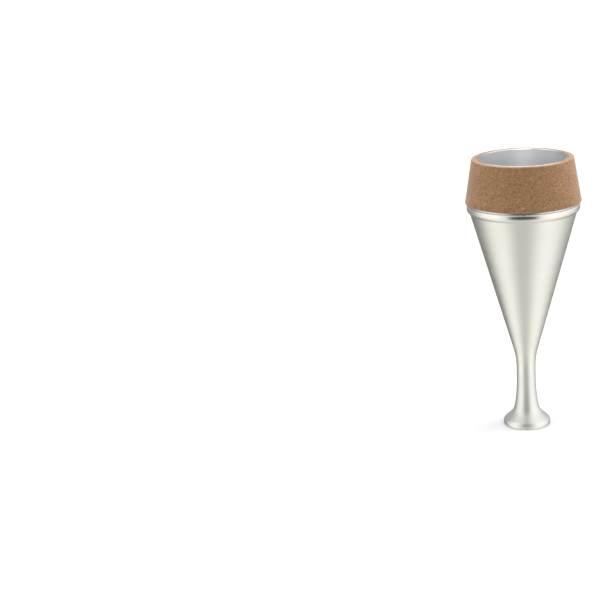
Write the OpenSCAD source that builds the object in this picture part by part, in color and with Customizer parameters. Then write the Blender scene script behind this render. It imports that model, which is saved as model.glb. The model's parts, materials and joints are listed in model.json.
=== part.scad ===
// Stopping mute for a French horn, standing on its flare with its wide open end up.
// A spun aluminium cone has a turned neck with a small flare bonded into its narrow end, and a
// hat-shaped aluminium collar bonded on its wide end. A tapered ring of agglomerated cork is glued
// round the collar and seats in the horn's bell. Every piece is a solid of revolution about Z.

/* [Flare and neck] */
// Outer diameter across the flare's lip
lip_d = 30.9; // [30:0.1:32]
// Thickness of the rolled bead round the lip
bead_d = 1.8; // [1.6:0.1:2]
// Height of the upright wall above the middle of the bead
lip_run = 1.15; // [0.8:0.05:1.6]
// Radius of the round above the upright wall
lip_round = 3.3; // [2.6:0.1:4]
// Steepest lean of the flare's wall from the axis, in degrees
flare_lean = 50; // [46:1:54]
// Length of the flare's straight wall
flare_run = 3.7; // [3:0.1:4.4]
// Radius of the tight sweep from the flare to the neck
flare_sweep = 10.2; // [9:0.1:11.5]
// Lean of the wall where the tight sweep passes into the long one, in degrees
neck_lean = 10; // [8.5:0.1:11]
// Outer diameter of the neck at its narrowest
neck_d = 12.6; // [12.2:0.1:13]
// Length of the straight neck between the flare's sweep and the cone's sweep
neck_run = 8.07; // [7:0.01:9]
// Wall thickness of the neck and the flare
neck_wall = 1.1; // [1:0.05:1.3]
// Length of the spigot that plugs into the cone
spigot_h = 10.7; // [10.5:0.1:12]
// Outer diameter of the spigot
spigot_d = 11.4; // [11.1:0.1:11.4]

/* [Cone] */
// Lean of the cone's wall from the axis, in degrees
cone_lean = 16; // [15:0.5:17]
// Radius of the sweep from the neck to the cone
waist_sweep = 46; // [40:1:60]
// Outer diameter of the cone where it meets the crease under the shoulder
crease_d = 69.8; // [68:0.1:71]
// Radius of the crease, which bends the other way from the shoulder
crease_round = 0.8; // [0.4:0.1:1.2]
// Radius of the rounded shoulder above the crease
shoulder_round = 3; // [2.6:0.1:4]
// Outer diameter of the band above the shoulder
band_d = 73.8; // [73:0.1:74.4]
// Height of the band below its turned-in edge
band_h = 1.6; // [1.2:0.1:2]
// Outer radius of the band's turned-in edge
band_turn = 1.2; // [1:0.1:1.5]
// Inner diameter of the ledge that the band's edge forms
ledge_d = 62; // [61.5:0.5:64]
// Thickness of the sheet that the cone is spun from
cone_wall = 0.9; // [0.7:0.05:1]

/* [Collar] */
// Height of the whole mute
mute_h = 182; // [178:0.5:190]
// Inner diameter of the collar's sleeve
sleeve_d = 57.2; // [56:0.1:57.6]
// Thickness of the sheet that the collar is spun from
collar_wall = 0.9; // [0.7:0.05:1]
// Radius of the corner between the sleeve and its flange
collar_corner = 1; // [0.8:0.1:1.2]

/* [Cork ring] */
// Outer diameter of the cork at its lower edge
cork_low_d = 75.5; // [74.5:0.1:78]
// Outer diameter of the cork at its upper edge
cork_high_d = 66.2; // [64:0.1:68]
// Radius of the cork's worn upper edge
cork_round = 0.8; // [0.4:0.1:1.4]

/* [Adhesive] */
// Thickness of the epoxy bonds and of the contact cement under the cork
glue_gap = 0.15; // [0.1:0.01:0.2]
// Distance that each film of adhesive stops short of a visible edge
glue_setback = 0.4; // [0.2:0.1:0.6]

/* [Hidden] */
$fn = 96;

// Largest gap between a rounded outline and its chords
chord_error = 0.01;
// Extra length that makes a cut run clear of a face
clear = 0.1;

lip_r = lip_d / 2;
bead_r = bead_d / 2;
neck_r = neck_d / 2;
crease_r = crease_d / 2;
band_r = band_d / 2;
spigot_r = spigot_d / 2;
socket_r = spigot_r + glue_gap;
bore_r = neck_r - neck_wall;
ledge_r = ledge_d / 2;
sleeve_in_r = sleeve_d / 2;
sleeve_out_r = sleeve_in_r + collar_wall;
cork_in_r = sleeve_out_r + glue_gap;
cork_low_r = cork_low_d / 2;
cork_high_r = cork_high_d / 2;

// A spun wall is a start point, a start lean and a list of steps. Each step is [run, radius, lean]:
// go straight for the run, then bend by the radius to the new lean. A lean is the angle from the
// axis, positive where the wall closes in as it rises. A bend towards a smaller lean has a negative
// radius.
function bend_count(radius, turn) =
    radius == 0 ? 1 : ceil(abs(turn) / (2 * acos(1 - min(chord_error / abs(radius), 1))));

function bend(from, radius, lean_from, lean_to) =
    let (count = bend_count(radius, lean_to - lean_from))
    [for (i = [1:count])
        let (lean = lean_from + (lean_to - lean_from) * i / count)
        from + radius * [cos(lean) - cos(lean_from), sin(lean) - sin(lean_from)]];

function trace(from, lean, steps, wall, i = 0) =
    i == len(steps) ? [] :
    let (step = steps[i])
    let (corner = from + step[0] * [-sin(lean), cos(lean)])
    let (arc = bend(corner, step[1] - wall, lean, step[2]))
    concat([corner], arc, trace(arc[len(arc) - 1], step[2], steps, wall, i + 1));

// The wall's outer side for a thickness of 0, or the side that lies the given thickness inside it
function wall_side(from, lean, steps, wall) =
    let (start = from - wall * [cos(lean), sin(lean)])
    concat([start], trace(start, lean, steps, wall));

function last(points) = points[len(points) - 1];

function reverse(points) = [for (i = [len(points) - 1:-1:0]) points[i]];

// The upper, long sweep of the neck starts where the tight sweep ends, and its radius brings the
// wall upright at the neck's radius
flare_start = [lip_r, bead_r];
flare_steps = [
    [lip_run, lip_round, flare_lean],
    [flare_run, -flare_sweep, neck_lean],
];
sweep_start = last(wall_side(flare_start, 0, flare_steps, 0));
neck_sweep = (sweep_start[0] - neck_r) / (1 - cos(neck_lean));
neck_start_z = sweep_start[1] + neck_sweep * sin(neck_lean);
joint_z = neck_start_z + neck_run / 2;
spigot_top_z = joint_z + spigot_h;
neck_steps = concat(flare_steps, [
    [0, -neck_sweep, 0],
    [neck_run / 2, 0, 0],
]);

// The cone starts at the neck joint and ends in a ledge under the collar's flange
waist_end_r = neck_r + waist_sweep * (1 - cos(cone_lean));
cone_run = (crease_r - waist_end_r) / sin(cone_lean);
shoulder_lean = acos((shoulder_round + crease_round * cos(cone_lean) - (band_r - crease_r))
    / (shoulder_round + crease_round));
cone_start = [neck_r, joint_z];
cone_steps = [
    [neck_run / 2, -waist_sweep, -cone_lean],
    [cone_run, -crease_round, -shoulder_lean],
    [0, shoulder_round, 0],
    [band_h, band_turn, 90],
    [band_r - band_turn - ledge_r, 0, 90],
];
ledge_z = last(wall_side(cone_start, 0, cone_steps, 0))[1];

// The collar's flange lies on the ledge, and the cork stands on the flange
flange_top_z = ledge_z + glue_gap + collar_wall;
sleeve_start_z = flange_top_z + collar_corner;
collar_start = [band_r, flange_top_z];
collar_steps = [
    [band_r - sleeve_out_r - collar_corner, -collar_corner, 0],
    [mute_h - sleeve_start_z, 0, 0],
];
cork_z = flange_top_z + glue_gap;
cork_lean = atan((cork_low_r - cork_high_r) / (mute_h - cork_z));
cork_taper_run = (mute_h - cork_z - cork_round * (1 - sin(cork_lean))) / cos(cork_lean);
cork_relief = collar_corner + glue_gap;

module spun_wall(from, lean, steps, wall) {
    rotate_extrude()
        polygon(concat(wall_side(from, lean, steps, 0), reverse(wall_side(from, lean, steps, wall))));
}

module tube(inner_r, outer_r, low_z, high_z) {
    rotate_extrude()
        translate([inner_r, low_z])
            square([outer_r - inner_r, high_z - low_z]);
}

module neck_bell() {
    color([0.84, 0.83, 0.80]) {
        spun_wall(flare_start, 0, neck_steps, neck_wall);
        rotate_extrude()
            translate([lip_r - bead_r, bead_r])
                circle(bead_r);
        tube(bore_r, spigot_r, neck_start_z, spigot_top_z);
    }
}

module neck_bond() {
    color([0.62, 0.58, 0.46])
        tube(spigot_r, socket_r, joint_z + glue_setback, spigot_top_z - glue_setback);
}

module body_cone() {
    color([0.88, 0.87, 0.83])
        difference() {
            spun_wall(cone_start, 0, cone_steps, cone_wall);
            translate([0, 0, joint_z - clear])
                cylinder(r = socket_r, h = spigot_h + clear);
        }
}

module flange_bond() {
    color([0.62, 0.58, 0.46])
        tube(ledge_r + glue_setback, band_r - band_turn, ledge_z, ledge_z + glue_gap);
}

module collar_sleeve() {
    color([0.80, 0.80, 0.79])
        spun_wall(collar_start, 90, collar_steps, collar_wall);
}

module cork_cement() {
    color([0.50, 0.36, 0.20]) {
        tube(sleeve_out_r, cork_in_r, sleeve_start_z, mute_h - glue_setback);
        tube(sleeve_out_r + collar_corner, band_r - glue_setback, flange_top_z, cork_z);
    }
}

module cork_ring() {
    color([0.66, 0.48, 0.34])
        rotate_extrude()
            polygon(concat(
                wall_side([cork_low_r, cork_z], cork_lean, [[cork_taper_run, cork_round, 90]], 0),
                [
                    [cork_in_r, mute_h],
                    [cork_in_r, cork_z + cork_relief],
                    [cork_in_r + cork_relief, cork_z],
                ]));
}

neck_bell();
neck_bond();
body_cone();
flange_bond();
collar_sleeve();
cork_cement();
cork_ring();
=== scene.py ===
# %% [markdown]
# # A horn player's stopping mute
#
# A stopping mute is a hollow metal funnel that a French horn player pushes into the throat of the
# bell. Its wide end goes in first and seals with a ring of cork. The sound has to squeeze through
# the slim neck and leaves by a small flare, which gives the buzzing colour of stopped notes.
#
# The maker spins the cone and the collar from aluminium sheet, turns the neck and its flare on a
# lathe, bonds the three together and glues a tapered ring of ground cork round the collar. Every
# piece is round about one axis, so this lesson works as the maker does: it draws half of each
# section and turns it on the lathe. The finished CAD model is loaded first and fixes every size.

# %% Load the frame
import json
import math

import bmesh
import bpy
from mathutils import Matrix, Vector


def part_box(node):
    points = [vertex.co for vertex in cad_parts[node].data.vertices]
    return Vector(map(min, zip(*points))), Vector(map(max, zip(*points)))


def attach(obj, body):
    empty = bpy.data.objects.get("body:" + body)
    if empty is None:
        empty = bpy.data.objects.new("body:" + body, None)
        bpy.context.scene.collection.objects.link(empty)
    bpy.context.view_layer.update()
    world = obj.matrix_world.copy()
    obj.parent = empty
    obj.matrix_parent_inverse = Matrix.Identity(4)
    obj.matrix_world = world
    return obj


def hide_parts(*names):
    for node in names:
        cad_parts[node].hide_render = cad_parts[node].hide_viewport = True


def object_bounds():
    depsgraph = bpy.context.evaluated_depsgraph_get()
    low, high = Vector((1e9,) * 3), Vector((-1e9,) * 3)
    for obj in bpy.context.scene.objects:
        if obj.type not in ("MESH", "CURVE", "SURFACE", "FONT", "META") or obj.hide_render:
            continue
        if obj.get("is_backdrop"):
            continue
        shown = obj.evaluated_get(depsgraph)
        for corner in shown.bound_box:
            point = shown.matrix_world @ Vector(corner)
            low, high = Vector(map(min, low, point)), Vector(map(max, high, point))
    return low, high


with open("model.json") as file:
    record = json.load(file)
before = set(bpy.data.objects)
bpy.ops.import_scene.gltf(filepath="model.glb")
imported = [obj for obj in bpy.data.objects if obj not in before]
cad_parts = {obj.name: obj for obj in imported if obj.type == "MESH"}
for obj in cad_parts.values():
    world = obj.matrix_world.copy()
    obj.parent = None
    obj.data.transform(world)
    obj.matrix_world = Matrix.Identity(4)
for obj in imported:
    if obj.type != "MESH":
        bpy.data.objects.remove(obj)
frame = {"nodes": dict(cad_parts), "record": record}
cad_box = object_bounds()
scene = bpy.context.scene
print("The frame has the nodes", ", ".join(sorted(frame["nodes"])))

# %% [markdown]
# ## Sizes
#
# The frame gives each node's box at rest, and the record gives the radii of the two bores. Those
# fix where the pieces meet. They could be typed in again, but a number that is read stays right
# when the CAD model changes. What a box can't tell, such as how tightly the sheet is bent, is
# written in millimetres beside each piece, as a maker would note it on the drawing.

# %% Read the sizes that the frame gives
MM = 0.001


def reach(node):
    """The outer radius of a round CAD node, and its lowest and highest height, in metres."""
    low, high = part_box(node)
    return high.x, low.z, high.z


bore = {mount["name"]: mount["dims"].get("r_mm", 0) * MM for mount in frame["record"]["mounts"]}
lip_r, lip_z, spigot_top_z = reach("neck_bell")
socket_r, neck_bond_low_z, neck_bond_top_z = reach("neck_bond")
band_r, joint_z, ledge_z = reach("body_cone")
flange_bond_r, flange_bond_low_z, flange_low_z = reach("flange_bond")
flange_r, _, mute_h = reach("collar_sleeve")
cement_r, flange_top_z, cement_top_z = reach("cork_cement")
cork_r, cork_z, _ = reach("cork_ring")

glue_gap = flange_low_z - flange_bond_low_z
collar_wall = flange_top_z - flange_low_z
spigot_r = socket_r - glue_gap
neck_bore_r = bore["neck_bore"]
sleeve_bore_r = bore["collar_bore"]
sleeve_r = sleeve_bore_r + collar_wall
print(f"The mute is {mute_h / MM:.1f} mm high and {2 * cork_r / MM:.1f} mm over the cork")
print(f"Glue gap {glue_gap / MM:.2f} mm, collar wall {collar_wall / MM:.2f} mm")

# %% [markdown]
# ## Drawing a section
#
# A spun wall is a chain of straight runs and bends, drawn in the plane y = 0. A *lean* is the angle
# of the wall from the axis, in degrees: positive where the wall closes in as it rises. Every run
# and every bend can be worked out from two directions, the one that the wall faces and the one in
# which it runs on.

# %% The two directions of a leaning wall


def outward(lean):
    """The direction that a wall of this lean faces."""
    return Vector((math.cos(math.radians(lean)), 0, math.sin(math.radians(lean))))


def along(lean):
    """The direction in which a wall of this lean runs on."""
    return Vector((-math.sin(math.radians(lean)), 0, math.cos(math.radians(lean))))


def bend_span(radius, lean, new_lean):
    """How far a bend carries a wall outwards and upwards."""
    return radius * (outward(new_lean) - outward(lean))


print(f"A bend of 1 mm from upright to a lean of 45 rises by {bend_span(1, 0, 45).z:.3f} mm")

# %% [markdown]
# The tracer starts from one vertex, extrudes it along a run, then spins it about the bend's centre,
# which is how the template for a spinning chuck is laid out with a rule and a compass. A bend
# towards a smaller lean has a negative radius. Taking the wall's thickness off every radius traces
# its inner side. A curve object could hold the outline too, but its handles only come near an arc,
# while a spin is one.

# %% Helpers that trace runs and bends
CHORD_ERROR = 0.004 * MM
WIDEST_STEP = 0.5  # share of the radius that a chord may cut off, where a bend is very tight


def bend_steps(radius, angle):
    """How many straight steps make a bend look round."""
    step = 2 * math.acos(1 - min(CHORD_ERROR / radius, WIDEST_STEP))
    return max(2, math.ceil(abs(angle) / step))


def start_point(bm, radius, height):
    """The first vertex of a section, at a radius and a height."""
    return bmesh.ops.create_vert(bm, co=(radius, 0, height))["vert"][0]


def spin_point(bm, point, centre, angle):
    """Carry the end of a section round a centre, and return its last vertex."""
    made = bmesh.ops.spin(
        bm, geom=[point], cent=centre, axis=(0, 1, 0), angle=-angle,
        steps=bend_steps((point.co - centre).length, angle), use_duplicate=False,
    )
    return [item for item in made["geom_last"] if isinstance(item, bmesh.types.BMVert)][0]


def trace(bm, point, lean, steps, wall=0.0):
    """Follow the steps (run, radius, new lean) from a point, and return the last vertex."""
    for run, radius, new_lean in steps:
        if run > 0:
            point = bmesh.ops.extrude_vert_indiv(bm, verts=[point])["verts"][0]
            bmesh.ops.translate(bm, verts=[point], vec=run * along(lean))
        if radius:
            centre = point.co - (radius - wall) * outward(lean)
            point = spin_point(bm, point, centre, math.radians(new_lean - lean))
        lean = new_lean
    return point


def round_edge(bm, outer, inner):
    """Close the cut edge at the end of a wall with a half circle."""
    spin_point(bm, outer, (outer.co + inner.co) / 2, math.pi)


print("A quarter bend of 3 mm takes", bend_steps(3 * MM, math.pi / 2), "steps")

# %% [markdown]
# ## Turning a section on the lathe
#
# The closed outline is spun right round the axis. The Screw modifier would do the same, but bmesh
# closes the seam at once, so the piece can be checked for open edges here. Spinning a drawn
# section, and not stacking cylinders, keeps every wall at its true thickness, inside and out.

# %% Helpers that turn a section into a piece
LATHE_STEPS = 256
MERGE = 0.001 * MM
SHARP_ANGLE = 35


def make_piece(name, bm, node):
    """Turn a finished bmesh into an object that rides on the mute and stands for a CAD node."""
    open_edges = sum(not edge.is_manifold for edge in bm.edges)
    mesh = bpy.data.meshes.new(name)
    bm.to_mesh(mesh)
    bm.free()
    mesh.shade_smooth()
    mesh.set_sharp_from_angle(angle=math.radians(SHARP_ANGLE))
    piece = bpy.data.objects.new(name, mesh)
    scene.collection.objects.link(piece)
    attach(piece, "root")
    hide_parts(node)
    print(f"{name}: {len(mesh.polygons)} faces, {open_edges} open edges, "
          f"{piece.dimensions.x / MM:.2f} mm across, {piece.dimensions.z / MM:.2f} mm high")
    return piece


def turn_on_lathe(name, bm, node, steps=LATHE_STEPS):
    """Spin a closed section round the axis and make it the piece that stands for a CAD node."""
    bmesh.ops.remove_doubles(bm, verts=bm.verts[:], dist=MERGE)
    bmesh.ops.spin(
        bm, geom=bm.verts[:] + bm.edges[:], cent=(0, 0, 0), axis=(0, 0, 1), angle=2 * math.pi,
        steps=steps, use_merge=True,
    )
    bmesh.ops.remove_doubles(bm, verts=bm.verts[:], dist=MERGE)
    bmesh.ops.recalc_face_normals(bm, faces=bm.faces[:])
    return make_piece(name, bm, node)


print(f"The lathe turns in {LATHE_STEPS} steps, "
      f"{2 * math.pi * band_r / LATHE_STEPS / MM:.2f} mm apart at the band")

# %% [markdown]
# ## The neck and its flare
#
# The flare is the small bell that the player sees. Its lip is curled back on itself into a bead, so
# that the thin edge is stiff and doesn't cut. Above the lip the wall turns in over a tight round,
# then sweeps up into the slim neck.
#
# The shape could be guessed with a bezier curve. Arcs are used because a turner works to radii, and
# because the last sweep can then be solved, so that it meets the neck at its true thickness.

# %% Lay out the bends of the neck
BEAD_R = 0.9 * MM
LIP_RUN = 1.15 * MM
LIP_ROUND = 3.3 * MM
FLARE_LEAN = 50
FLARE_RUN = 3.7 * MM
FLARE_SWEEP = 10.2 * MM
NECK_LEAN = 10
NECK_RUN = 8.07 * MM
NECK_WALL = 1.1 * MM

neck_r = neck_bore_r + NECK_WALL
sweep_foot = (
    Vector((lip_r, 0, lip_z + BEAD_R)) + LIP_RUN * along(0) + bend_span(LIP_ROUND, 0, FLARE_LEAN)
    + FLARE_RUN * along(FLARE_LEAN) + bend_span(-FLARE_SWEEP, FLARE_LEAN, NECK_LEAN)
)
neck_sweep = (sweep_foot.x - neck_r) / (1 - math.cos(math.radians(NECK_LEAN)))
neck_start_z = sweep_foot.z + neck_sweep * math.sin(math.radians(NECK_LEAN))
upper_bends = [
    (FLARE_RUN, -FLARE_SWEEP, NECK_LEAN),
    (0, -neck_sweep, 0),
]
print(f"The neck's long sweep has a radius of {neck_sweep / MM:.1f} mm, and ends "
      f"{abs(joint_z - neck_start_z - NECK_RUN / 2) / MM:.3f} mm from where the frame has it")

# %% [markdown]
# The outline starts where the curled bead meets the inside of the wall, goes round the bead, up the
# outside, over the spigot that plugs into the cone, and down the bore. The inside of the bowl is
# then traced on its own and the two are welded. One outline for the whole piece leaves no join in
# it, and the bead keeps the little groove that a real curled edge has.

# %% Turn the neck and its flare
bead_centre = Vector((lip_r - BEAD_R, 0, lip_z + BEAD_R))
bead_seam = math.acos((lip_r - NECK_WALL - bead_centre.x) / BEAD_R)
bead_rise = BEAD_R * math.sin(bead_seam)

section = bmesh.new()
seam = start_point(section, lip_r - NECK_WALL, bead_centre.z + bead_rise)
lip = spin_point(section, seam, bead_centre, 2 * math.pi - bead_seam)
trace(section, lip, 0, [(LIP_RUN, LIP_ROUND, FLARE_LEAN)] + upper_bends + [
    (joint_z - neck_start_z, 0, 90),
    (neck_r - spigot_r, 0, 0),
    (spigot_top_z - joint_z, 0, 90),
    (spigot_r - neck_bore_r, 0, 180),
    (spigot_top_z - neck_start_z, 0, 180),
])
bowl_bends = [(LIP_RUN - bead_rise, LIP_ROUND, FLARE_LEAN)] + upper_bends
trace(section, seam, 0, bowl_bends, wall=NECK_WALL)
neck = turn_on_lathe("neck_with_flare", section, "neck_bell")

# %% [markdown]
# ## The cone
#
# The cone is one spinning. Its small end is a socket for the neck's spigot, and the outside is
# flush with the neck there, so the joint hardly shows. At its wide end the sheet is stepped out
# over a rounded shoulder to a short upright band, and the band's edge is turned in to a ledge that
# carries the collar.
#
# A tapered cylinder with a bevel would give a hard, even step. Here the crease under the shoulder
# is a real bend with its own small radius: a hard corner would flash as a white line in the render,
# where the real sheet has a soft dark one.

# %% Lay out the bends of the cone
CONE_LEAN = 16
CONE_WALL = 0.9 * MM
WAIST_SWEEP = 46 * MM
CREASE_R = 34.9 * MM
CREASE_ROUND = 0.8 * MM
SHOULDER_ROUND = 3.0 * MM
BAND_TURN = 1.2 * MM
LEDGE_R = 31 * MM

waist = bend_span(-WAIST_SWEEP, 0, -CONE_LEAN)
cone_run = (CREASE_R - neck_r - waist.x) / math.sin(math.radians(CONE_LEAN))
shoulder_cosine = (
    SHOULDER_ROUND + CREASE_ROUND * math.cos(math.radians(CONE_LEAN)) - (band_r - CREASE_R)
) / (SHOULDER_ROUND + CREASE_ROUND)
shoulder_lean = math.degrees(math.acos(shoulder_cosine))
crease_z = joint_z + NECK_RUN / 2 + waist.z + cone_run * math.cos(math.radians(CONE_LEAN))
band_foot_z = (
    crease_z + bend_span(-CREASE_ROUND, -CONE_LEAN, -shoulder_lean).z
    + bend_span(SHOULDER_ROUND, -shoulder_lean, 0).z
)
wide_end_bends = [
    (cone_run, -CREASE_ROUND, -shoulder_lean),
    (0, SHOULDER_ROUND, 0),
    (ledge_z - BAND_TURN - band_foot_z, BAND_TURN, 90),
    (band_r - BAND_TURN - LEDGE_R - CONE_WALL / 2, 0, 90),
]
print(f"The straight cone is {cone_run / MM:.1f} mm long, and the shoulder leans "
      f"{shoulder_lean:.1f} degrees out of the crease")

# %% [markdown]
# The outer and the inner side are traced from the same list of bends, the inner one with the wall
# taken off, and meet in the ledge's rounded edge. The Solidify modifier would also thicken a single
# skin, but not leave a straight socket inside the waist. Where that socket ends is worked out
# first.

# %% Spin the cone
socket_lean = math.degrees(
    math.acos((neck_r + WAIST_SWEEP - socket_r) / (WAIST_SWEEP + CONE_WALL)))
socket_run = NECK_RUN / 2 + (WAIST_SWEEP + CONE_WALL) * math.sin(math.radians(socket_lean))

section = bmesh.new()
foot = start_point(section, neck_r, joint_z)
outer_waist = [(NECK_RUN / 2, -WAIST_SWEEP, -CONE_LEAN)]
outer_end = trace(section, foot, 0, outer_waist + wide_end_bends)
socket_foot = trace(section, foot, 90, [(neck_r - socket_r, 0, 0)])
inner_waist = [(socket_run, 0, -socket_lean), (0, -WAIST_SWEEP, -CONE_LEAN)]
inner_end = trace(section, socket_foot, 0, inner_waist + wide_end_bends, wall=CONE_WALL)
round_edge(section, outer_end, inner_end)
cone = turn_on_lathe("spun_cone", section, "body_cone")
print(f"The socket is straight for {socket_run / MM:.1f} mm")

# %% [markdown]
# ## The collar
#
# The collar is shaped like a hat with no crown: a sleeve that carries the cork, and a brim that is
# bonded on the cone's ledge. Its rim is the bright ring inside the top of the cork, and is rounded
# right over so that it doesn't scratch the bell. The edge of its brim is the bright line under the
# cork. It is trimmed square on the lathe and only eased at its corners, so it shines as one flat
# line. A Bevel modifier could ease it, but would have to be kept off every other corner, so the
# ease is drawn.

# %% Spin the collar
COLLAR_CORNER = 1.0 * MM
EDGE_EASE = 0.15 * MM

brim_edge = [
    (0, EDGE_EASE, 0),
    (collar_wall - 2 * EDGE_EASE, EDGE_EASE, 90),
]
collar_bends = [
    (flange_r - EDGE_EASE - sleeve_r - COLLAR_CORNER, -COLLAR_CORNER, 0),
    (mute_h - collar_wall / 2 - flange_top_z - COLLAR_CORNER, 0, 0),
]

section = bmesh.new()
brim = start_point(section, flange_r - EDGE_EASE, flange_low_z)
rim = trace(section, brim, -90, brim_edge + collar_bends)
rim_inside = trace(section, brim, 90, collar_bends, wall=collar_wall)
round_edge(section, rim, rim_inside)
collar = turn_on_lathe("spun_collar", section, "collar_sleeve")

# %% [markdown]
# ## The adhesives
#
# Two bonds of epoxy hold the metal together, and contact cement holds the cork. They are films a
# seventh of a millimetre thick, and almost all of each one is hidden, but where a seam is open a
# dark line of adhesive is what the eye finds in it. They could be left out of a picture. They are
# made because this model comes apart into its real pieces, and each is a turned ring like the rest.

# %% Lay the films of adhesive


def film(name, rings, node):
    """A film of adhesive: rings of square section, each (inner radius, outer radius, low, high)."""
    bm = bmesh.new()
    for inner_r, outer_r, low_z, high_z in rings:
        corner = start_point(bm, inner_r, low_z)
        trace(bm, corner, -90, [
            (outer_r - inner_r, 0, 0),
            (high_z - low_z, 0, 90),
            (outer_r - inner_r, 0, 180),
            (high_z - low_z, 0, 180),
        ])
    return turn_on_lathe(name, bm, node)


setback = mute_h - cement_top_z
neck_film = film("neck_epoxy", [
    (spigot_r, socket_r, neck_bond_low_z, neck_bond_top_z),
], "neck_bond")
flange_film = film("flange_epoxy", [
    (LEDGE_R + setback, flange_bond_r, flange_bond_low_z, flange_low_z),
], "flange_bond")
cork_film = film("cork_cement_film", [
    (sleeve_r, sleeve_r + glue_gap, flange_top_z + COLLAR_CORNER, cement_top_z),
    (sleeve_r + COLLAR_CORNER, cement_r, flange_top_z, cork_z),
], "cork_cement")
print(f"The films under the collar and the cork stop {setback / MM:.2f} mm short of the open edge")

# %% [markdown]
# ## The cork
#
# The ring is agglomerated cork: granules about a millimetre across, pressed with a little binder,
# then ground to the taper on the lathe. Grinding wears the upper edge round, because that edge goes
# into the bell first. Its lower inner corner is cut away to clear the bend of the collar.
#
# The section is turned as before, but all of it apart from the bore is first cut into rings half a
# granule wide, so that the mesh is fine enough to be pitted.

# %% Turn the cork ring
GRANULE = 1.1 * MM
CORK_TOP_R = 33.1 * MM
CORK_ROUND = 0.8 * MM
CORK_STEPS = 420

cork_h = mute_h - cork_z
cork_lean = math.degrees(math.atan((cork_r - CORK_TOP_R) / cork_h))
taper_rise = cork_h - CORK_ROUND * (1 - math.sin(math.radians(cork_lean)))
taper_run = taper_rise / math.cos(math.radians(cork_lean))
relief = COLLAR_CORNER + glue_gap
cork_bore_r = sleeve_r + glue_gap

section = bmesh.new()
low_edge = start_point(section, cork_r, cork_z)
top_face = trace(section, low_edge, cork_lean, [(taper_run, CORK_ROUND, 90)])
trace(section, top_face, 90, [
    (top_face.co.x - cork_bore_r, 0, 180),
    (cork_h - relief, 0, 225),
    (relief * math.sqrt(2), 0, 270),
    (cork_r - cork_bore_r - relief, 0, 270),
])
bmesh.ops.remove_doubles(section, verts=section.verts[:], dist=MERGE)
for edge in section.edges[:]:
    parts = round(edge.calc_length() / (GRANULE / 2))
    middle_r = (edge.verts[0].co.x + edge.verts[1].co.x) / 2
    if parts > 1 and middle_r > cork_bore_r + GRANULE:
        bmesh.ops.subdivide_edges(section, edges=[edge], cuts=parts - 1)
cork = turn_on_lathe("cork_collar", section, "cork_ring", steps=CORK_STEPS)
print(f"The cork tapers by {cork_lean:.1f} degrees")

# %% [markdown]
# Grinding leaves a flat surface with small pits where a granule has torn out. A bump alone would
# leave the cork's outline smooth, so the pits are a live displacement, which only ever takes
# material away and so keeps the ring inside its CAD size.

# %% Pit the ground surface of the cork
PIT_DEPTH = 0.16 * MM
PIT_SPACING = 1.6 * GRANULE

pits = bpy.data.textures.new("cork_pits", "VORONOI")
pits.noise_scale = PIT_SPACING
pits.noise_intensity = 1.0
pits.weight_1, pits.weight_2 = -1.0, 1.0
wear = cork.modifiers.new("pits", "DISPLACE")
wear.texture = pits
wear.texture_coords = "LOCAL"
wear.mid_level = 0.0
wear.strength = -PIT_DEPTH
print(f"{len(cork.data.vertices)} vertices take pits up to {PIT_DEPTH / MM:.2f} mm deep")

# %% [markdown]
# ## Making materials
#
# Colours are picked as the sRGB hex values that a colour chart gives, and one function turns them
# to the linear light that the renderer works in. One more function adds a node with its settings
# and its links, so that each material reads as a short list of what the surface has on it. Painted
# image textures could do the same, but a pattern made from nodes has no seams and no resolution.

# %% Helpers for materials


def linear(hex_colour):
    """A linear RGBA colour from an sRGB hex value such as "#C8C8C8"."""
    channels = [int(hex_colour[i:i + 2], 16) / 255 for i in (1, 3, 5)]
    return [c / 12.92 if c <= 0.04045 else ((c + 0.055) / 1.055) ** 2.4 for c in channels] + [1.0]


def add_node(tree, kind, inputs=None, **settings):
    """Add a shader node. Each input takes a plain value or the output of another node."""
    node = tree.nodes.new("ShaderNode" + kind)
    for name, value in settings.items():
        setattr(node, name, value)
    for name, value in (inputs or {}).items():
        if isinstance(value, bpy.types.NodeSocket):
            tree.links.new(value, node.inputs[name])
        else:
            node.inputs[name].default_value = value
    return node


def fill_ramp(ramp, stops):
    """Give a new colour ramp its stops, each (position, linear colour)."""
    elements = ramp.color_ramp.elements
    for index, (position, colour) in enumerate(stops):
        stop = elements[index] if index < 2 else elements.new(position)
        stop.position, stop.color = position, colour


def new_material(name):
    """An empty material, its node tree and its output node."""
    material = bpy.data.materials.new(name)
    material.use_nodes = True
    material.node_tree.nodes.clear()
    return material, material.node_tree, add_node(material.node_tree, "OutputMaterial")


def cover(piece, material):
    """Give a piece its material, and say so."""
    piece.data.materials.append(material)
    print(f"{piece.name} is covered in {material.name}, {len(material.node_tree.nodes)} nodes")


print("Middle grey, #808080, is", round(linear("#808080")[0], 3), "in linear light")

# %% [markdown]
# ## Spun aluminium
#
# Bare aluminium, brought to a satin finish with abrasive while it turns. The scratches run round
# the axis, a tenth of a millimetre apart, in slower bands of deeper and shallower passes.
#
# A noise squeezed along the axis and drawn out round it gives both. A ring-shaped wave texture
# would be too regular, because no two scratches are alike or go all the way round.

# %% Helpers for the marks of the lathe


def turned_marks(tree, place, spacing, length, detail, roughness):
    """Marks this far apart along the axis, which change slowly over this length round it."""
    stretch = add_node(tree, "Mapping", {
        "Vector": place, "Scale": (1 / length, 1 / length, 1 / spacing),
    })
    marks = add_node(tree, "TexNoise", {
        "Vector": stretch.outputs["Vector"], "Scale": 1.0, "Detail": detail,
        "Roughness": roughness,
    })
    return marks.outputs["Fac"]


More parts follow.
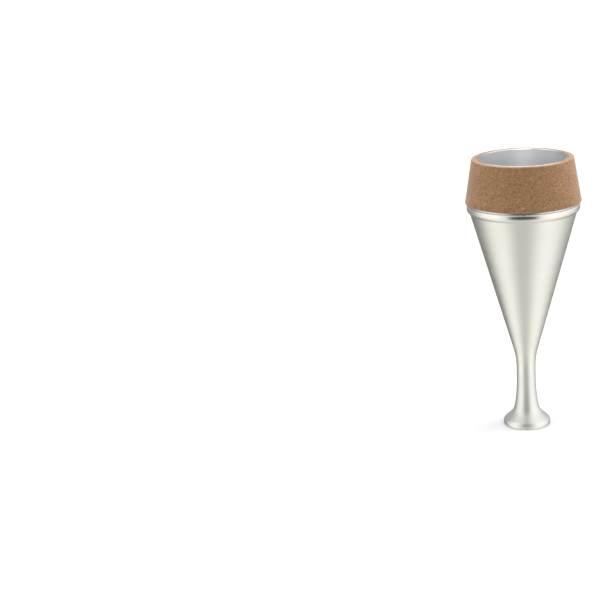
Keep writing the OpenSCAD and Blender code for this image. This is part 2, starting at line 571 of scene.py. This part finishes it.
def burnish_mask(tree, place, zones):
    """How burnished the metal is, for zones (height of the last satin, height of full burnish)."""
    height = add_node(tree, "SeparateXYZ", {"Vector": place})
    burnish = 0.0
    for satin_z, burnished_z in zones:
        zone = add_node(tree, "MapRange", {
            "Value": height.outputs["Z"], "From Min": satin_z, "From Max": burnished_z,
        })
        burnish = add_node(tree, "Math", {0: zone.outputs["Result"], 1: burnish},
                           operation="MAXIMUM").outputs["Value"]
    return burnish


print("Marks and burnish are both worked out from Object coordinates, in metres")

# %% [markdown]
# The passes make the metal a little darker in turn, and a wide faint haze shows where it has been
# handled. Both only darken the aluminium's own colour, by a few hundredths. Dirt painted over the
# metal as a second shader would look like a layer on it, and this metal is clean.

# %% The colour of the satin
PASS_RANGE = {"From Min": 0.3, "From Max": 0.7}
PASS_TONE = 0.965
HAZE_SIZE = 22.2 * MM
HAZE_RANGE = {"From Min": 0.35, "From Max": 0.65}
HAZE_TONE = 0.975


def satin_colour(tree, place, colour, passes):
    """The metal's colour, darker in the deeper passes and in the haze."""
    haze = add_node(tree, "TexNoise", {"Vector": place, "Scale": 1 / HAZE_SIZE, "Detail": 3.0})
    pass_tone = add_node(tree, "MapRange", {
        "Value": passes, **PASS_RANGE, "To Min": PASS_TONE, "To Max": 1.0,
    })
    haze_tone = add_node(tree, "MapRange", {
        "Value": haze.outputs["Fac"], **HAZE_RANGE, "To Min": HAZE_TONE, "To Max": 1.0,
    })
    shade = add_node(tree, "Math", {
        0: pass_tone.outputs["Result"], 1: haze_tone.outputs["Result"],
    }, operation="MULTIPLY")
    return add_node(tree, "VectorMath", {
        0: linear(colour)[:3], "Scale": shade.outputs["Value"],
    }, operation="SCALE").outputs["Vector"]


print(f"The deepest pass in the thickest haze is {1 - PASS_TONE * HAZE_TONE:.3f} darker")

# %% [markdown]
# The scratches spread a reflection along the axis and leave it narrow round it, so a soft light
# draws a band down the whole length of the cone. That is anisotropy with its direction turned by a
# quarter, because the shader's own tangent runs round the Z axis. A plain rough metal would show
# only a round blur there.
#
# The real scratches are too fine to show, so the bump draws them about four times coarser.

# %% The satin finish
SCRATCH = 0.4 * MM
SCRATCH_LENGTH = 83.3 * MM
SCRATCH_BUMP = 0.02 * MM
SCRATCH_STRENGTH = 0.35
PASS_WIDTH = 3.0 * MM
PASS_LENGTH = 71.4 * MM
PASS_ROUGHENS = 0.03
PASS_DEPTH = 1.5  # against the scratches
BURNISHED = 0.20
ALONG_THE_AXIS = 0.25  # a quarter of a turn


def satin_aluminium(name, colour, roughness, anisotropy, burnished_zones):
    """Aluminium with scratches round the axis, smoother in its burnished zones."""
    material, tree, output = new_material(name)
    place = add_node(tree, "TexCoord").outputs["Object"]
    scratches = turned_marks(tree, place, SCRATCH, SCRATCH_LENGTH, detail=3.0, roughness=0.65)
    passes = turned_marks(tree, place, PASS_WIDTH, PASS_LENGTH, detail=2.0, roughness=0.5)
    burnish = burnish_mask(tree, place, burnished_zones)
    satin = add_node(tree, "MapRange", {
        "Value": passes, **PASS_RANGE,
        "To Min": roughness - PASS_ROUGHENS, "To Max": roughness + PASS_ROUGHENS,
    })
    finish = add_node(tree, "Mix", {0: burnish, 2: satin.outputs["Result"], 3: BURNISHED})
    depth = add_node(tree, "Math", {0: passes, 1: PASS_DEPTH, 2: scratches},
                     operation="MULTIPLY_ADD")
    bump = add_node(tree, "Bump", {
        "Height": depth.outputs["Value"], "Strength": SCRATCH_STRENGTH, "Distance": SCRATCH_BUMP,
    })
    surface = add_node(tree, "BsdfPrincipled", {
        "Base Color": satin_colour(tree, place, colour, passes),
        "Metallic": 1.0,
        "Roughness": finish.outputs[0],
        "Anisotropic": anisotropy,
        "Anisotropic Rotation": ALONG_THE_AXIS,
        "Normal": bump.outputs["Normal"],
    })
    tree.links.new(surface.outputs["BSDF"], output.inputs["Surface"])
    return material


print(f"A burnished zone has roughness {BURNISHED}, and satin lies above it")

# %% [markdown]
# The three metal pieces share the finish but not its degree. The cone's band stands proud, and the
# horn's own bell has burnished it, so it shines from its foot up. The collar was never polished: it
# is nearly matt, with hardly any grain, and bright only on its two edges, the brim's and the rim's.
# Its colour is a greyer, cooler copy of the same aluminium, which is painted shade, taken from the
# dim inside of the collar. The neck is satin all over. One function with a few numbers for each
# piece keeps them recognisably the same metal, where three separate materials would drift apart.

# %% Cover the three metal pieces
SATIN = "#F0EFE8"
# The collar's grey is painted shade: a greyer, cooler copy of the satin aluminium's colour.
COLLAR_SHADED_GREY = "#DEDEDF"

cover(cone, satin_aluminium(
    "spun_satin_aluminium", SATIN, roughness=0.38, anisotropy=0.75,
    burnished_zones=[(band_foot_z - 0.3 * MM, band_foot_z + 0.3 * MM)]))
cover(neck, satin_aluminium(
    "turned_satin_aluminium", SATIN, roughness=0.43, anisotropy=0.75, burnished_zones=[]))
# The collar's greyer colour is painted shade, not a different metal.
cover(collar, satin_aluminium(
    "matt_collar_aluminium", COLLAR_SHADED_GREY, roughness=0.50, anisotropy=0.2,
    burnished_zones=[(flange_top_z + 0.4 * MM, flange_top_z),
                     (mute_h - 0.9 * MM, mute_h - 0.4 * MM)]))

# %% [markdown]
# ## Ground cork
#
# Agglomerated cork is brown granules in a thin binder. Each granule has its own tone, from straw to
# chestnut. Voronoi cells are the usual way to draw granules, and each cell comes with a random
# colour to pick its tone by. Cells alone look like tiles, so their places are warped by a noise
# first, a finer noise adds the grain within a granule, and a wide one the cloudiness of the block.

# %% The granules of the cork
WARP_SIZE = 1.5 * GRANULE
WARP = 0.8 * GRANULE
FLECK = 0.8 * MM
GRAIN = 0.45 * MM
GRAIN_SHARE = 0.45
CLOUD = 9 * MM
CLOUD_SHARE = 0.3

cork_skin, tree, output = new_material("ground_agglomerated_cork")
place = add_node(tree, "TexCoord").outputs["Object"]
wobble = add_node(tree, "TexNoise", {"Vector": place, "Scale": 1 / WARP_SIZE, "Detail": 2.0})
warped = add_node(tree, "VectorMath", {
    0: wobble.outputs["Color"], 1: (WARP,) * 3, 2: place,
}, operation="MULTIPLY_ADD").outputs["Vector"]
granules = add_node(tree, "TexVoronoi", {"Vector": warped, "Scale": 1 / GRANULE})
flecks = add_node(tree, "TexVoronoi", {"Vector": warped, "Scale": 1 / FLECK})
grain = add_node(tree, "TexNoise", {
    "Vector": place, "Scale": 1 / GRAIN, "Detail": 3.0, "Roughness": 0.6,
})
cloud = add_node(tree, "TexNoise", {"Vector": place, "Scale": 1 / CLOUD, "Detail": 2.0})
granule_tone = add_node(tree, "SeparateXYZ", {"Vector": granules.outputs["Color"]})
grained = add_node(tree, "Mix", {
    0: GRAIN_SHARE, 2: granule_tone.outputs["X"], 3: grain.outputs["Fac"],
})
clouded = add_node(tree, "Mix", {0: CLOUD_SHARE, 2: grained.outputs[0], 3: cloud.outputs["Fac"]})
print(f"Granules {GRANULE / MM:.1f} mm, flecks {FLECK / MM:.1f} mm, grain {GRAIN / MM:.2f} mm")

# %% [markdown]
# A colour ramp turns the tones into browns. Over them lie two kinds of fleck: dark bits of bark,
# and pale torn cells. Each is chosen from a second set of cells by its random number, the darkest
# from the top of the range and the palest from its bottom, so the two never fall on one cell.

# %% The colours of the cork
CORK_TONES = [(0.0, "#705034"), (0.3, "#866242"), (0.55, "#916E4D"), (0.8, "#9D7A5A"),
              (1.0, "#B29074")]
BARK = (0.90, 0.95, "#6A4A30", 0.6)  # where the range starts and is full, colour, share of it
TORN_CELLS = (0.08, 0.04, "#C9A78A", 0.24)

tones = add_node(tree, "ValToRGB", {"Fac": clouded.outputs[0]})
fill_ramp(tones, [(position, linear(colour)) for position, colour in CORK_TONES])
brown = tones.outputs["Color"]
fleck_tone = add_node(tree, "SeparateXYZ", {"Vector": flecks.outputs["Color"]})
for starts, full, colour, share in (BARK, TORN_CELLS):
    chosen = add_node(tree, "MapRange", {
        "Value": fleck_tone.outputs["Y"], "From Min": starts, "From Max": full, "To Max": share,
    })
    brown = add_node(tree, "Mix", {
        0: chosen.outputs["Result"], 6: brown, 7: linear(colour),
    }, data_type="RGBA").outputs[2]
print("The cork runs from", CORK_TONES[0][1], "to", CORK_TONES[-1][1])

# %% [markdown]
# The surface is dry and matt, with a dusty sheen where it is seen edge on. Between the granules it
# dips a little, and its grain is rough. Both are bump only, because they are finer than the mesh,
# while the pits that the mesh does carry show in the outline.

# %% The surface of the cork
DIP_RANGE = {"From Min": 0.35, "From Max": 0.75}  # distance from a granule's middle
GRAIN_DEPTH = 0.6  # against the dips
CORK_BUMP = 0.15 * MM
CORK_BUMP_STRENGTH = 0.7

dips = add_node(tree, "MapRange", {
    "Value": granules.outputs["Distance"], **DIP_RANGE, "To Min": 1.0, "To Max": 0.0,
})
cork_height = add_node(tree, "Math", {
    0: grain.outputs["Fac"], 1: GRAIN_DEPTH, 2: dips.outputs["Result"],
}, operation="MULTIPLY_ADD")
bump = add_node(tree, "Bump", {
    "Height": cork_height.outputs["Value"], "Strength": CORK_BUMP_STRENGTH,
    "Distance": CORK_BUMP,
})
surface = add_node(tree, "BsdfPrincipled", {
    "Base Color": brown,
    "Roughness": 0.85,
    "IOR": 1.4,
    "Sheen Weight": 0.3,
    "Sheen Roughness": 0.4,
    "Normal": bump.outputs["Normal"],
})
tree.links.new(surface.outputs["BSDF"], output.inputs["Surface"])
cover(cork, cork_skin)

# %% [markdown]
# ## Adhesives
#
# Cured epoxy is a clear amber plastic with a little dust and a few bubbles in it. Contact cement
# dries to a brown rubbery skin. Both show only as the dark bottom of a seam, so a clouded tone on
# an uneven skin is enough, and light that travels inside the epoxy isn't worth its time to render.

# %% Epoxy and contact cement
CLOUDING = 2 * MM
SKIN_BUMP = 0.05 * MM
SKIN_STRENGTH = 0.3


def adhesive(name, colour, dark_colour, roughness):
    """A cured adhesive with cloudy tone and a slightly uneven skin."""
    material, tree, output = new_material(name)
    place = add_node(tree, "TexCoord").outputs["Object"]
    clouds = add_node(tree, "TexNoise", {"Vector": place, "Scale": 1 / CLOUDING, "Detail": 3.0})
    tint = add_node(tree, "Mix", {
        0: clouds.outputs["Fac"], 6: linear(dark_colour), 7: linear(colour),
    }, data_type="RGBA")
    skin = add_node(tree, "Bump", {
        "Height": clouds.outputs["Fac"], "Strength": SKIN_STRENGTH, "Distance": SKIN_BUMP,
    })
    surface = add_node(tree, "BsdfPrincipled", {
        "Base Color": tint.outputs[2], "Roughness": roughness, "Normal": skin.outputs["Normal"],
    })
    tree.links.new(surface.outputs["BSDF"], output.inputs["Surface"])
    return material


epoxy = adhesive("cured_epoxy", "#8C7A55", "#6E5E40", roughness=0.35)
cover(neck_film, epoxy)
cover(flange_film, epoxy)
cover(cork_film, adhesive("dried_contact_cement", "#7A5531", "#5A3C20", roughness=0.6))

# %% [markdown]
# ## The table
#
# The mute stands on a pale table. It is one wide face, a hair below the flare so that the two don't
# share a surface. The table isn't reflected in the mute and doesn't light it, as if the foot of the
# light tent went on below it: a mirror image of a plain floor would turn the lower half of the
# metal flat grey.

# %% The table
TABLE_HALF_SIZE = 8.0  # metres, so wide that its edge is never seen
TABLE_DROP = 0.02 * MM
TABLE_TONE = 0.55


def tinted_grey(tone, tint="#FFFFFF"):
    """A linear colour with this tone and tint."""
    return [tone * channel for channel in linear(tint)[:3]] + [1.0]


def flat_sheet(name, half_size, height):
    """A level square sheet for the studio, which isn't part of the mute."""
    bm = bmesh.new()
    bmesh.ops.create_grid(bm, x_segments=1, y_segments=1, size=half_size)
    bmesh.ops.translate(bm, verts=bm.verts[:], vec=(0, 0, height))
    mesh = bpy.data.meshes.new(name)
    bm.to_mesh(mesh)
    bm.free()
    sheet = bpy.data.objects.new(name, mesh)
    scene.collection.objects.link(sheet)
    return sheet


table = flat_sheet("table", TABLE_HALF_SIZE, lip_z - TABLE_DROP)
table_top, tree, output = new_material("pale_table")
surface = add_node(tree, "BsdfDiffuse", {"Color": tinted_grey(TABLE_TONE)})
tree.links.new(surface.outputs["BSDF"], output.inputs["Surface"])
cover(table, table_top)
table.visible_glossy = False
table.visible_diffuse = False
table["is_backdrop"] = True

# %% [markdown]
# ## The light tent
#
# The mute stands inside a light tent, which is the world's light. It is brightest in two broad
# panels at the sides, dimmer behind the mute, and darkest in the slit where the camera looks in,
# which is what draws the two light bands and the darker stripe down the metal. Turned metal shows
# hardly anything else, so the tent's tones are what make it look like metal. Soft boxes could be
# placed round it as lamps, but a ramp of tones round the horizon has no gaps between them.
#
# Metal that faces down sees the foot of the tent, which is lit warm by the table, and metal that
# faces up sees its cool cloth, so each direction round the mute has two tones.

# %% The tones of the tent
FOOT_TINT, CLOTH_TINT = "#FFFEF7", "#F9FBFF"
TENT_TONES = [  # degrees from the camera towards its right, tone of the foot, tone of the cloth
    (-180, 0.20, 0.50), (-150, 0.10, 0.40), (-120, 0.34, 0.38), (-90, 0.92, 0.88),
    (-60, 0.95, 1.06), (-30, 0.68, 0.72), (-14, 0.60, 0.52), (0, 0.64, 0.34), (14, 0.64, 0.56),
    (30, 0.78, 0.74), (60, 0.97, 1.08), (90, 0.93, 1.05), (120, 0.54, 0.92), (150, 0.14, 0.55),
    (180, 0.20, 0.50),
]

world = bpy.data.worlds.new("light_tent")
scene.world = world
world.use_nodes = True
world.cycles.sampling_method = "NONE"
tree = world.node_tree
tree.nodes.clear()
sight = add_node(tree, "TexCoord").outputs["Generated"]
direction = add_node(tree, "SeparateXYZ", {"Vector": sight})
frontward = add_node(tree, "Math", {0: direction.outputs["Y"], 1: -1.0}, operation="MULTIPLY")
azimuth = add_node(tree, "Math", {
    0: direction.outputs["X"], 1: frontward.outputs["Value"],
}, operation="ARCTAN2")
turn = add_node(tree, "Math", {0: azimuth.outputs["Value"], 1: 1 / (2 * math.pi), 2: 0.5},
                operation="MULTIPLY_ADD")
tent_parts = []
for column, tint in ((1, FOOT_TINT), (2, CLOTH_TINT)):
    ring = add_node(tree, "ValToRGB", {"Fac": turn.outputs["Value"]})
    fill_ramp(ring, [(0.5 + tone[0] / 360, tinted_grey(tone[column], tint)) for tone in TENT_TONES])
    tent_parts.append(ring.outputs["Color"])
print("The tent has", len(TENT_TONES), "tones round it, at its foot and on its cloth")

# %% [markdown]
# The foot goes over into the cloth a little below the horizon, softly, as cloth hangs. The camera
# itself looks through the tent at a plain pale backdrop, because the tent's own bands behind the
# mute would distract from it.

# %% Join the foot and the cloth
TENT_POWER = 1.2
FOOT_ENDS, CLOTH_BEGINS = -0.5, 0.1  # sines of the elevation
BACKDROP_TONE = 0.8

rise = add_node(tree, "MapRange", {
    "Value": direction.outputs["Z"], "From Min": FOOT_ENDS, "From Max": CLOTH_BEGINS,
}, interpolation_type="SMOOTHSTEP")
walls = add_node(tree, "Mix", {
    0: rise.outputs["Result"], 6: tent_parts[0], 7: tent_parts[1],
}, data_type="RGBA")
seen = add_node(tree, "LightPath").outputs["Is Camera Ray"]
shown = add_node(tree, "Mix", {
    0: seen, 6: walls.outputs[2], 7: tinted_grey(BACKDROP_TONE),
}, data_type="RGBA")
glow = add_node(tree, "Background", {"Color": shown.outputs[2], "Strength": TENT_POWER})
add_node(tree, "OutputWorld", {"Surface": glow.outputs["Background"]})
print("The world has", len(tree.nodes), "nodes")

# %% [markdown]
# ## The dark card
#
# A dark card with faded edges stands low in front, under the camera's line of sight. The upright
# band below the cork mirrors it as a soft dark patch, and the neck and the flare catch only its
# faded edge. A darker spot in the tent would do as well for one small piece, but the tent is
# infinitely far away, so the same spot would show at every height of the metal.
#
# The card's place is on its object, because its fade is drawn in its own coordinates, from its
# middle to its edges. It throws no shadow, and the camera doesn't see it.

# %% The dark card
CARD_AWAY = 0.35
CARD_LEVEL = 0.08
CARD_HALF_WIDTH, CARD_HALF_HEIGHT = 0.26, 0.11

card = flat_sheet("dark_card", 1.0, 0.0)
card.location = (0, -CARD_AWAY, CARD_LEVEL)
card.rotation_euler = (math.radians(90), 0, 0)
card.scale = (CARD_HALF_WIDTH, CARD_HALF_HEIGHT, 1)
card.visible_camera = False
card.visible_diffuse = False
card.visible_shadow = False
card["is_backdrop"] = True
print(f"The card stands {CARD_AWAY} m in front, {2 * CARD_HALF_WIDTH} m wide")

# %% [markdown]
# A card with hard edges would be mirrored as a rectangle, even in satin metal. So the card goes
# over from black cloth to nothing, softly, towards each edge. A blend of a transparent and a plain
# black shader does that, and the black is an emission so that no lamp can lighten it.

# %% The card's faded edges
CARD_FADES = {"X": 0.6, "Y": 0.35}  # share of each half that fades out
CARD_TONE = 0.03

felt, tree, output = new_material("soft_edged_dark_card")
place = add_node(tree, "SeparateXYZ", {"Vector": add_node(tree, "TexCoord").outputs["Object"]})
solid = 1.0
for axis, card_fade in CARD_FADES.items():
    from_middle = add_node(tree, "Math", {0: place.outputs[axis]}, operation="ABSOLUTE")
    fade = add_node(tree, "MapRange", {
        "Value": from_middle.outputs["Value"], "From Min": 1.0, "From Max": 1 - card_fade,
    }, interpolation_type="SMOOTHSTEP")
    solid = add_node(tree, "Math", {0: fade.outputs["Result"], 1: solid},
                     operation="MULTIPLY").outputs["Value"]
clear = add_node(tree, "BsdfTransparent")
dark = add_node(tree, "Emission", {"Color": tinted_grey(CARD_TONE)})
surface = add_node(tree, "MixShader", {
    0: solid, 1: clear.outputs["BSDF"], 2: dark.outputs["Emission"],
})
tree.links.new(surface.outputs["Shader"], output.inputs["Surface"])
cover(card, felt)

# %% [markdown]
# ## The lamps
#
# Broad lamps work through the tent's cloth. One is overhead, for the table and the top of the cork,
# and two weaker ones graze the sides of the cork, more on the right. They don't show in the metal,
# because the cloth in front of them is already part of the tent. Sun lamps with a wide angle are
# used and not area lamps, because their light is equally strong all over the mute.

# %% The broad lamps
LAMP_AWAY = 0.8  # a sun lights alike from anywhere, so this only keeps it clear of the mute


def from_mute(azimuth, elevation):
    """The direction from the mute. Azimuth 0 is the camera's side and 90 is its right."""
    a, e = math.radians(azimuth), math.radians(elevation)
    return Vector((math.sin(a) * math.cos(e), -math.cos(a) * math.cos(e), math.sin(e)))


def broad_lamp(name, azimuth, elevation, spread, power):
    """A far and broad soft lamp, which lights everything evenly from one side."""
    lamp = bpy.data.lights.new(name, "SUN")
    lamp.angle, lamp.energy = math.radians(spread), power
    holder = bpy.data.objects.new(name, lamp)
    scene.collection.objects.link(holder)
    away = from_mute(azimuth, elevation)
    holder.location = LAMP_AWAY * away
    holder.rotation_euler = away.to_track_quat("Z", "Y").to_euler()
    holder.visible_glossy = False
    print(f"{name}: {spread} degrees wide, power {power}")
    return holder


broad_lamp("overhead_lamp", azimuth=180, elevation=80, spread=70, power=3.3)
broad_lamp("right_rim_lamp", azimuth=112, elevation=22, spread=50, power=1.9)
broad_lamp("left_rim_lamp", azimuth=-104, elevation=22, spread=50, power=0.95)

# %% [markdown]
# Two more lamps light the collar alone, as a snoot would, which here is light linking. One looks
# into the mouth over the camera, and one draws the bright line along the collar's rim. These do
# show in the metal, because the tent is too dim there to bring out the inside of a matt sleeve.

# %% The collar's own lamps
collar_only = bpy.data.collections.new("collar_only")
collar_only.objects.link(collar)
for holder in (
    broad_lamp("mouth_lamp", azimuth=0, elevation=42, spread=42, power=2.2),
    broad_lamp("rim_lamp", azimuth=180, elevation=62, spread=60, power=1.6),
):
    holder.visible_glossy = True
    holder.light_linking.receiver_collection = collar_only

# %% [markdown]
# ## The camera
#
# A short telephoto a little over a metre away, looking slightly down, keeps the sides of the funnel
# nearly straight, where a wide lens close by would make the cork look too big for the flare. The
# mute stands to the right of the middle, so the camera is turned to the left of it and tipped by
# three degrees, and its lens isn't shifted.

# %% The camera
LENS, SENSOR = 104.68, 36  # millimetres
CAMERA_AWAY, CAMERA_HEIGHT = 1.1198, 0.4071  # metres, as is the near limit
NEAR_LIMIT = 0.05
PAN_LEFT, TILT_DOWN, TIP = 7.632, 15.745, -3.083  # degrees

camera_data = bpy.data.cameras.new("camera")
camera_data.lens = LENS
camera_data.sensor_width = SENSOR
camera_data.clip_start = NEAR_LIMIT
camera = bpy.data.objects.new("camera", camera_data)
scene.collection.objects.link(camera)
camera.matrix_world = (
    Matrix.Translation((0, -CAMERA_AWAY, CAMERA_HEIGHT))
    @ Matrix.Rotation(math.radians(PAN_LEFT), 4, "Z")
    @ Matrix.Rotation(math.radians(90 - TILT_DOWN), 4, "X")
    @ Matrix.Rotation(math.radians(TIP), 4, "Z")
)
scene.camera = camera
scene.view_settings.view_transform = "Standard"
print(f"The lens takes in {math.degrees(camera_data.angle):.1f} degrees")

# %% [markdown]
# ## Checking the size
#
# The CAD model fixes the size of the mute, and the pieces above were made from its numbers. The box
# round the finished pieces is measured and written down beside the CAD box, because a slip in a
# bend is hard to see and easy to measure.

# %% Measure the finished mute
visual_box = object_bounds()
for label, (low, high) in (("CAD", cad_box), ("visual", visual_box)):
    print(label, "box in mm:", [round(v / MM, 2) for v in low], [round(v / MM, 2) for v in high])
